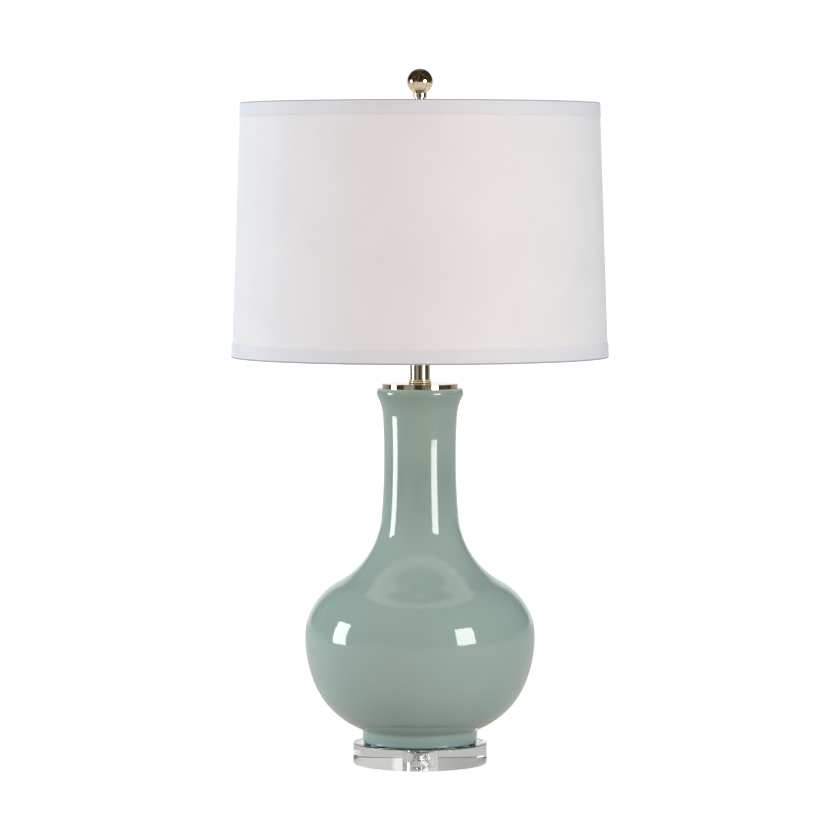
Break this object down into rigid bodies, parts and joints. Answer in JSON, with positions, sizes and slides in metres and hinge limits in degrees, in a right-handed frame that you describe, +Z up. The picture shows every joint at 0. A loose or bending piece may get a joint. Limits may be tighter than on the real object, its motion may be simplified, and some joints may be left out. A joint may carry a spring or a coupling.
{
  "type": "table lamp",
  "caption": "Bottle-shaped glazed ceramic table lamp on a clear round base, with a white drum shade on a harp and a polished ball finial.",
  "frame": {"origin": "on the lamp's axis, on the plane of the four bumper pads that it stands on", "axes": "+Z up along the lamp's axis, -Y towards the viewer (the switch side), +X to the viewer's right along the harp's plane"},
  "size_m": [0.4303, 0.4304, 0.7953],
  "materials": {
    "clear_pad": "soft clear vinyl",
    "crystal": "clear, polished all over",
    "plated_steel": "zinc plated",
    "dark_gasket": "matt dark gasket",
    "celadon_glaze": "smooth celadon glaze",
    "bushing_plastic": "moulded nylon",
    "polished_nickel": "polished nickel with a warm tint",
    "insulating_paper": "pressed paper sleeve",
    "moulded_phenolic": "moulded phenolic",
    "terminal_brass": "bright brass",
    "knob_plastic": "black fluted knob",
    "solder_tip": "solder",
    "bulb_base_metal": "bright aluminium",
    "frosted_glass": "inside-frosted white",
    "white_linen": "fine plain-woven white linen",
    "linen_trim": "folded band of the same fabric",
    "shade_liner": "white styrene liner",
    "frame_wire": "light nickel-coloured wire"
  },
  "bodies": {
    "base": {"bumper_pads": "clear_pad", "crystal_base": "crystal", "base_washer": "plated_steel", "base_lock_washer": "plated_steel", "base_nut": "plated_steel", "threaded_rod": "plated_steel", "foot_gasket": "dark_gasket", "ceramic_body": "celadon_glaze", "cord_bushing": "bushing_plastic", "vase_cap": "polished_nickel", "neck_collar": "polished_nickel", "neck_tube": "polished_nickel", "neck_top_cap": "polished_nickel", "neck_lock_nut": "plated_steel", "harp_saddle": "polished_nickel", "socket_cap": "polished_nickel", "socket_set_screw": "plated_steel", "socket_shell": "polished_nickel", "socket_insulator": "insulating_paper", "socket_interior": "moulded_phenolic", "terminal_screws": "terminal_brass", "socket_screw_shell": "terminal_brass", "socket_contact": "terminal_brass"},
    "switch": {"switch_shaft": "plated_steel", "switch_knob": "knob_plastic"},
    "bulb": {"bulb_contact": "solder_tip", "bulb_insulator": "moulded_phenolic", "bulb_base": "bulb_base_metal", "bulb_glass": "frosted_glass"},
    "harp": {"harp_wire": "polished_nickel", "harp_crown": "polished_nickel", "harp_stud": "polished_nickel", "harp_shoe_left": "polished_nickel", "harp_shoe_right": "polished_nickel"},
    "sleeve_left": {"harp_sleeve_left": "polished_nickel"},
    "sleeve_right": {"harp_sleeve_right": "polished_nickel"},
    "shade": {"shade_fabric": "white_linen", "shade_liner": "shade_liner", "shade_trim_bottom": "linen_trim", "shade_trim_top": "linen_trim", "shade_ring_bottom": "frame_wire", "shade_ring_top": "frame_wire", "shade_spider": "frame_wire"},
    "finial": {"finial_base": "polished_nickel", "finial_ball": "polished_nickel"}
  },
  "joints": [
    {"name": "switch_turn", "type": "hinge", "parent": "base", "child": "switch", "pos_m": [0, -0.027, 0.5201], "axis": [0, -1, 0], "continuous": true},
    {"name": "bulb_unscrew", "type": "hinge", "parent": "base", "child": "bulb", "pos_m": [0, 0, 0.5469], "axis": [0, 0, 1], "continuous": true},
    {"name": "harp_lift", "type": "slide", "parent": "base", "child": "harp", "axis": [0, 0, 1], "range_m": [0, 0.016]},
    {"name": "sleeve_left_lift", "type": "slide", "parent": "harp", "child": "sleeve_left", "axis": [0, 0, 1], "range_m": [0, 0.04]},
    {"name": "sleeve_right_lift", "type": "slide", "parent": "harp", "child": "sleeve_right", "axis": [0, 0, 1], "range_m": [0, 0.04]},
    {"name": "shade_turn", "type": "hinge", "parent": "harp", "child": "shade", "pos_m": [0, 0, 0.7469], "axis": [0, 0, 1], "continuous": true},
    {"name": "finial_unscrew", "type": "hinge", "parent": "harp", "child": "finial", "pos_m": [0, 0, 0.7582], "axis": [0, 0, 1], "continuous": true}
  ]
}
